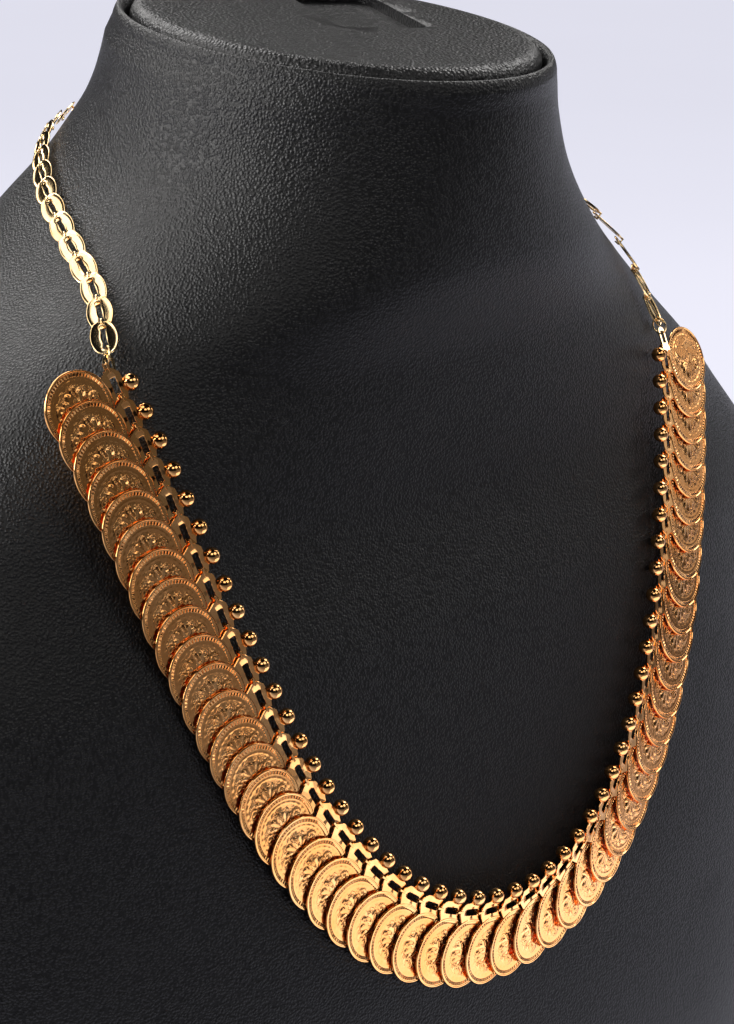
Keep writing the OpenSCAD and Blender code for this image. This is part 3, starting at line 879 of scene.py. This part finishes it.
def link_unit(hooked):
    """One link: an oval plate, dished between its rim and the ridges along its slot."""
    bm = bmesh.new()
    count = 64
    outer, inner = link_outline(count), link_slot(count)
    # share of the way from the outline to the slot, and height
    profile = ((0.0, -0.12), (0.0, 0.13), (0.03, 0.19), (0.10, 0.19), (0.15, 0.11),
               (0.30, 0.09), (0.70, 0.09), (0.78, 0.13), (0.84, 0.20), (0.94, 0.20),
               (1.0, 0.12), (1.0, -0.14), (0.94, -0.2), (0.06, -0.2))
    rings = [np.column_stack([outer * (1 - t) + inner * t, np.full(count, z)])
             for t, z in profile]
    loft(bm, np.array(rings), closed=True)
    if hooked:
        half, y = LINK_LENGTH / 2, (-TONGUE_WIDTH / 2, TONGUE_WIDTH / 2)
        back = -half - LINK_TONGUE
        foot = -LINK_PITCH * math.sin(math.radians(LINK_TILT)) - LINK_DROP
        box(bm, (back, LINK_TONGUE - half), y, (LINK_BACK, 0.26))
        box(bm, (back, back + HOOK_THICKNESS), y, (foot - HOOK_THICKNESS, 0.2))
        box(bm, (back, back + HOOK_REACH), y, (foot - HOOK_THICKNESS, foot))
    return as_mesh(bm, "link")


def wire_ring(ends):
    """A round wire ring through two points, leaning from the normal beside it; its place."""
    a, b, normal = ends
    x = unit(b - a)
    side = unit(np.cross(normal, x))
    bm = bmesh.new()
    start = Matrix.Translation((np.linalg.norm(b - a) / 2, 0, 0))
    wire = bmesh.ops.create_circle(bm, segments=12, radius=RING_WIRE, matrix=start)["verts"]
    bmesh.ops.spin(bm, geom=wire + edges_of(wire), axis=(0, 1, 0), cent=(0, 0, 0),
                   angle=2 * math.pi, steps=40, use_merge=True)
    return as_mesh(bm, "wire_ring"), ((a + b) / 2, x, side, np.cross(x, side)), RING_LEAN, 0


def chains():
    """The chain's two halves, each with the wire ring to its end plate."""
    necklace = Necklace()
    made = []
    for name, links, first_hook, ends in (
            ("links_left", necklace.left_links, True, necklace.rings[0]),
            ("links_right", necklace.right_links, False, necklace.rings[1])):
        bm = bmesh.new()
        repeat(bm, link_unit(first_hook), [(links[0], 0, LINK_TILT)])
        repeat(bm, link_unit(True), [(f, 0, LINK_TILT) for f in links[1:]])
        ring, *place = wire_ring(ends)
        repeat(bm, ring, [place])
        made.append(finished(bm, name, 0.8))
    return made


# ---- Settings


def colour_setting(name, description, default):
    return FloatVectorProperty(name=name, description=description, default=default, size=3,
                               min=0, max=1, subtype="COLOR")


class BustSettings(bpy.types.PropertyGroup):
    sides: IntProperty(name="Sides", description="Points round the bust", default=288, min=48)
    levels: IntProperty(name="Levels", description="Rings up the bust", default=150, min=20)
    grain: FloatProperty(name="Grain", description="Size of the leather's pebbles, in mm",
                         default=0.68, min=0.2)
    grain_depth: FloatProperty(name="Grain depth", description="Strength of the pebbles",
                               default=0.6, min=0, max=1, subtype="FACTOR")
    leather: colour_setting("Leather", "Colour of the pebbles", (0.0085, 0.0085, 0.0096))
    # painted shade: the colour between the pebbles is darker, standing in for shade in the grain
    crease_shade: colour_setting("Crease", "Colour between the pebbles", (0.0030, 0.0030, 0.0034))


class CoinSettings(bpy.types.PropertyGroup):
    sides: IntProperty(name="Sides", description="Points round a coin", default=84, min=24)
    rings: IntProperty(name="Rings", description="Rings across a coin's face", default=28, min=6)
    ball_sides: IntProperty(name="Ball sides", description="Points round a ball", default=16,
                            min=8)
    gold: colour_setting("Gold", "Lighter colour of the coins", (0.99, 0.55, 0.23))
    red_gold: colour_setting("Red gold", "Deeper colour of the coins", (0.94, 0.45, 0.15))
    # painted shade: this deep red stands in for shade on the coins' field and between the dashes
    painted_shade: colour_setting("Hollow", "Colour in the hollows of the relief", (0.66, 0.21, 0.03))


class ChainSettings(bpy.types.PropertyGroup):
    roughness: FloatProperty(name="Roughness", description="Roughness of the links' polish",
                             default=0.12, min=0, max=1, subtype="FACTOR")
    gold: colour_setting("Gold", "Colour of the links", (1.0, 0.76, 0.42))
    tarnish: colour_setting("Tarnish", "Colour of the worn links", (0.93, 0.60, 0.26))


class StageSettings(bpy.types.PropertyGroup):
    floor_size: FloatProperty(name="Floor", description="Width of the floor", default=9.0,
                              unit="LENGTH")
    tint: colour_setting("Tint", "Colour of the floor", (0.12, 0.12, 0.137))
    glow: FloatProperty(name="Glow", description="Light that the floor gives off", default=6.2)
    power: FloatProperty(name="Power", description="Share of the softboxes' power", default=1.0)
    world: FloatProperty(name="World", description="Strength of the surrounding light",
                         default=0.004)


# Softboxes. Columns: name, place in metres, width in metres, power in watts
SOFTBOXES = (
    ("back_softbox", (0.3, 1.1, 1.1), 0.8, 8.2),
    ("back_left_softbox", (-0.5, 0.85, 1.25), 0.8, 3.5),
    ("left_softbox", (-1.1, 0.6, 0.7), 0.8, 16.5),
    ("top_left_softbox", (-0.7, 0.2, 1.5), 0.8, 3.6),
    ("right_softbox", (1.0, 0.1, 1.1), 0.8, 9.0),
    ("front_softbox", (0.3, -1.1, 1.1), 0.8, 3.0),
    ("front_left_softbox", (-0.7, -0.9, 1.1), 0.6, 2.0),
    ("fill_softbox", (0.5, -1.4, 0.35), 1.1, 0.3),
    ("side_strip", (1.3, -0.5, 0.6), 0.3, 0.9),
    ("side_softbox", (1.2, -0.45, 0.35), 0.5, 0.35),
)
LIT_POINT = (0, 0, 0.22)
REFLECTOR_PLACE, REFLECTOR_SIZE, REFLECTOR_POWER = (0.13, -0.24, 0.012), 0.34, 0.42
# The photograph's camera: its place in metres, its axes, and its lens and sensor in mm
CAMERA_PLACE = (-0.4326, -0.4481, 0.3810)
CAMERA_RIGHT = (0.70090, -0.71326, 0)
CAMERA_UP = (0.21086, 0.20720, 0.95530)
CAMERA_BACK = (-0.68138, -0.66957, 0.29562)
CAMERA_LENS, CAMERA_SENSOR = 90.165, 36
LAMP_COLOUR = (1.0, 0.98, 0.96)
PALE_WALL = (0.76, 0.76, 0.87)


# ---- Operators


class NECKLACE_OT_bust(bpy.types.Operator):
    """Build the leather-covered bust and its cap, and paint its board"""

    bl_idname = "necklace.bust"
    bl_label = "Build Bust"

    def execute(self, context):
        settings = context.scene.necklace_bust
        leather = leather_material("black_leatherette", settings, 1.0, 0.36)
        coarse = leather_material("cap_leatherette", settings, 1.25, 0.34)
        dress(bust_skin(settings), leather, "leather", "bust_body")
        dress(cap_cushion(settings), coarse, "leather", "bust_cap")
        paint(board_material("board_paper"), "base_plate")
        return {"FINISHED"}


class NECKLACE_OT_coins(bpy.types.Operator):
    """Build the two halves of the string of coins"""

    bl_idname = "necklace.coins"
    bl_label = "Build Coins"

    def execute(self, context):
        settings = context.scene.necklace_coins
        gold = coin_material("stamped_gold", settings)
        left, right = coin_strings(settings)
        dress(left, gold, "gold", "coin_string_left")
        dress(right, gold, "gold", "coin_string_right")
        return {"FINISHED"}


class NECKLACE_OT_chain(bpy.types.Operator):
    """Build the chain's two halves, and gild the plates and the clasp"""

    bl_idname = "necklace.chain"
    bl_label = "Build Chain"

    def execute(self, context):
        pale = polished_material("polished_pale_gold", context.scene.necklace_chain)
        left, right = chains()
        dress(left, pale, "chain_gold", "chain_left")
        dress(right, pale, "chain_gold", "chain_right")
        paint(pale, "clasp", "end_plate_left", "end_plate_right")
        return {"FINISHED"}


class NECKLACE_OT_stage(bpy.types.Operator):
    """Build the floor, the lights, the world and the camera"""

    bl_idname = "necklace.stage"
    bl_label = "Build Stage"

    def execute(self, context):
        settings = context.scene.necklace_stage
        floor = new_floor(settings)
        lights = [softbox(name, place, LIT_POINT, width, watts * settings.power)
                  for name, place, width, watts in SOFTBOXES]
        low = Vector(REFLECTOR_PLACE)
        reflector = softbox("low_reflector", low, low + Vector((0, 0, 1)), REFLECTOR_SIZE,
                            REFLECTOR_POWER * settings.power)
        reflector.visible_camera = False
        reflector.light_linking.receiver_collection = jewellery()
        lights.append(reflector)
        set_world(settings.world)
        set_camera()
        return {"FINISHED"}


class NECKLACE_PT_panel(bpy.types.Panel):
    """Buttons and settings for the necklace"""

    bl_label = "Coin Necklace"
    bl_idname = "NECKLACE_PT_panel"
    bl_space_type = "VIEW_3D"
    bl_region_type = "UI"
    bl_category = "Necklace"

    def draw(self, context):
        scene = context.scene
        for group, operator in ((scene.necklace_bust, NECKLACE_OT_bust),
                                (scene.necklace_coins, NECKLACE_OT_coins),
                                (scene.necklace_chain, NECKLACE_OT_chain),
                                (scene.necklace_stage, NECKLACE_OT_stage)):
            box_layout = self.layout.box()
            for name in group.__annotations__:
                box_layout.prop(group, name)
            box_layout.operator(operator.bl_idname)


# ---- Stage


def paint(material, *nodes):
    """Gives CAD nodes a material."""
    for name in nodes:
        mesh = frame["nodes"][name].data
        mesh.materials.clear()
        mesh.materials.append(material)


def jewellery():
    """The pieces that only the low reflector lights, so that the leather stays dark."""
    group = bpy.data.collections.new("jewellery")
    for obj in bpy.data.objects:
        if obj.type == "MESH" and obj.name.startswith(("coins", "links", "end_plate", "clasp")):
            group.objects.link(obj)
    return group


def new_floor(settings):
    bm = bmesh.new()
    bmesh.ops.create_grid(bm, x_segments=1, y_segments=1, size=settings.floor_size / 2 / MM)
    floor = finished(bm, "floor")
    floor.data.materials.append(
        floor_material("pale_sheet", tuple(settings.tint), settings.glow))
    return floor


def softbox(name, place, target, size, power):
    """A rectangular lamp that looks at its target."""
    light = bpy.data.lights.new(name, "AREA")
    light.shape = "RECTANGLE"
    light.size, light.size_y = size, size * 0.8
    light.energy = power
    light.color = LAMP_COLOUR
    obj = in_scene(name, light)
    obj.location = place
    way = Vector(target) - Vector(place)
    obj.rotation_euler = way.to_track_quat("-Z", "Y").to_euler()
    return obj


def set_world(strength):
    """A dim room whose walls are seen as pale as the floor."""
    world = bpy.data.worlds.new("studio")
    bpy.context.scene.world = world
    world.use_nodes = True
    tree = world.node_tree
    dim = tree.nodes["Background"]
    seen = tree.nodes.new("ShaderNodeBackground")
    for background, power in ((dim, strength), (seen, 1.0)):
        background.inputs["Color"].default_value = (*PALE_WALL, 1.0)
        background.inputs["Strength"].default_value = power
    path = tree.nodes.new("ShaderNodeLightPath")
    mix = tree.nodes.new("ShaderNodeMixShader")
    tree.links.new(path.outputs["Is Camera Ray"], mix.inputs[0])
    tree.links.new(dim.outputs[0], mix.inputs[1])
    tree.links.new(seen.outputs[0], mix.inputs[2])
    tree.links.new(mix.outputs[0], tree.nodes["World Output"].inputs["Surface"])


def set_camera():
    """The photograph's place and angle of view."""
    data = bpy.data.cameras.new("camera")
    data.lens, data.sensor_width = CAMERA_LENS, CAMERA_SENSOR
    data.clip_start, data.clip_end = 0.05, 50
    camera = in_scene("camera", data)
    turn = Matrix((CAMERA_RIGHT, CAMERA_UP, CAMERA_BACK)).transposed().to_4x4()
    camera.matrix_world = Matrix.Translation(CAMERA_PLACE) @ turn
    bpy.context.scene.camera = camera
    bpy.context.scene.view_settings.view_transform = "Standard"


GROUPS = (
    ("necklace_bust", BustSettings),
    ("necklace_coins", CoinSettings),
    ("necklace_chain", ChainSettings),
    ("necklace_stage", StageSettings),
)
CLASSES = (
    *(group for _, group in GROUPS), NECKLACE_OT_bust, NECKLACE_OT_coins, NECKLACE_OT_chain,
    NECKLACE_OT_stage, NECKLACE_PT_panel,
)


def register():
    for cls in CLASSES:
        bpy.utils.register_class(cls)
    for name, group in GROUPS:
        setattr(bpy.types.Scene, name, PointerProperty(type=group))


def unregister():
    for name, _ in GROUPS:
        delattr(bpy.types.Scene, name)
    for cls in reversed(CLASSES):
        bpy.utils.unregister_class(cls)


def main():
    register()
    for build in (bpy.ops.necklace.bust, bpy.ops.necklace.coins, bpy.ops.necklace.chain,
                  bpy.ops.necklace.stage):
        build()


if __name__ == "__main__":
    main()
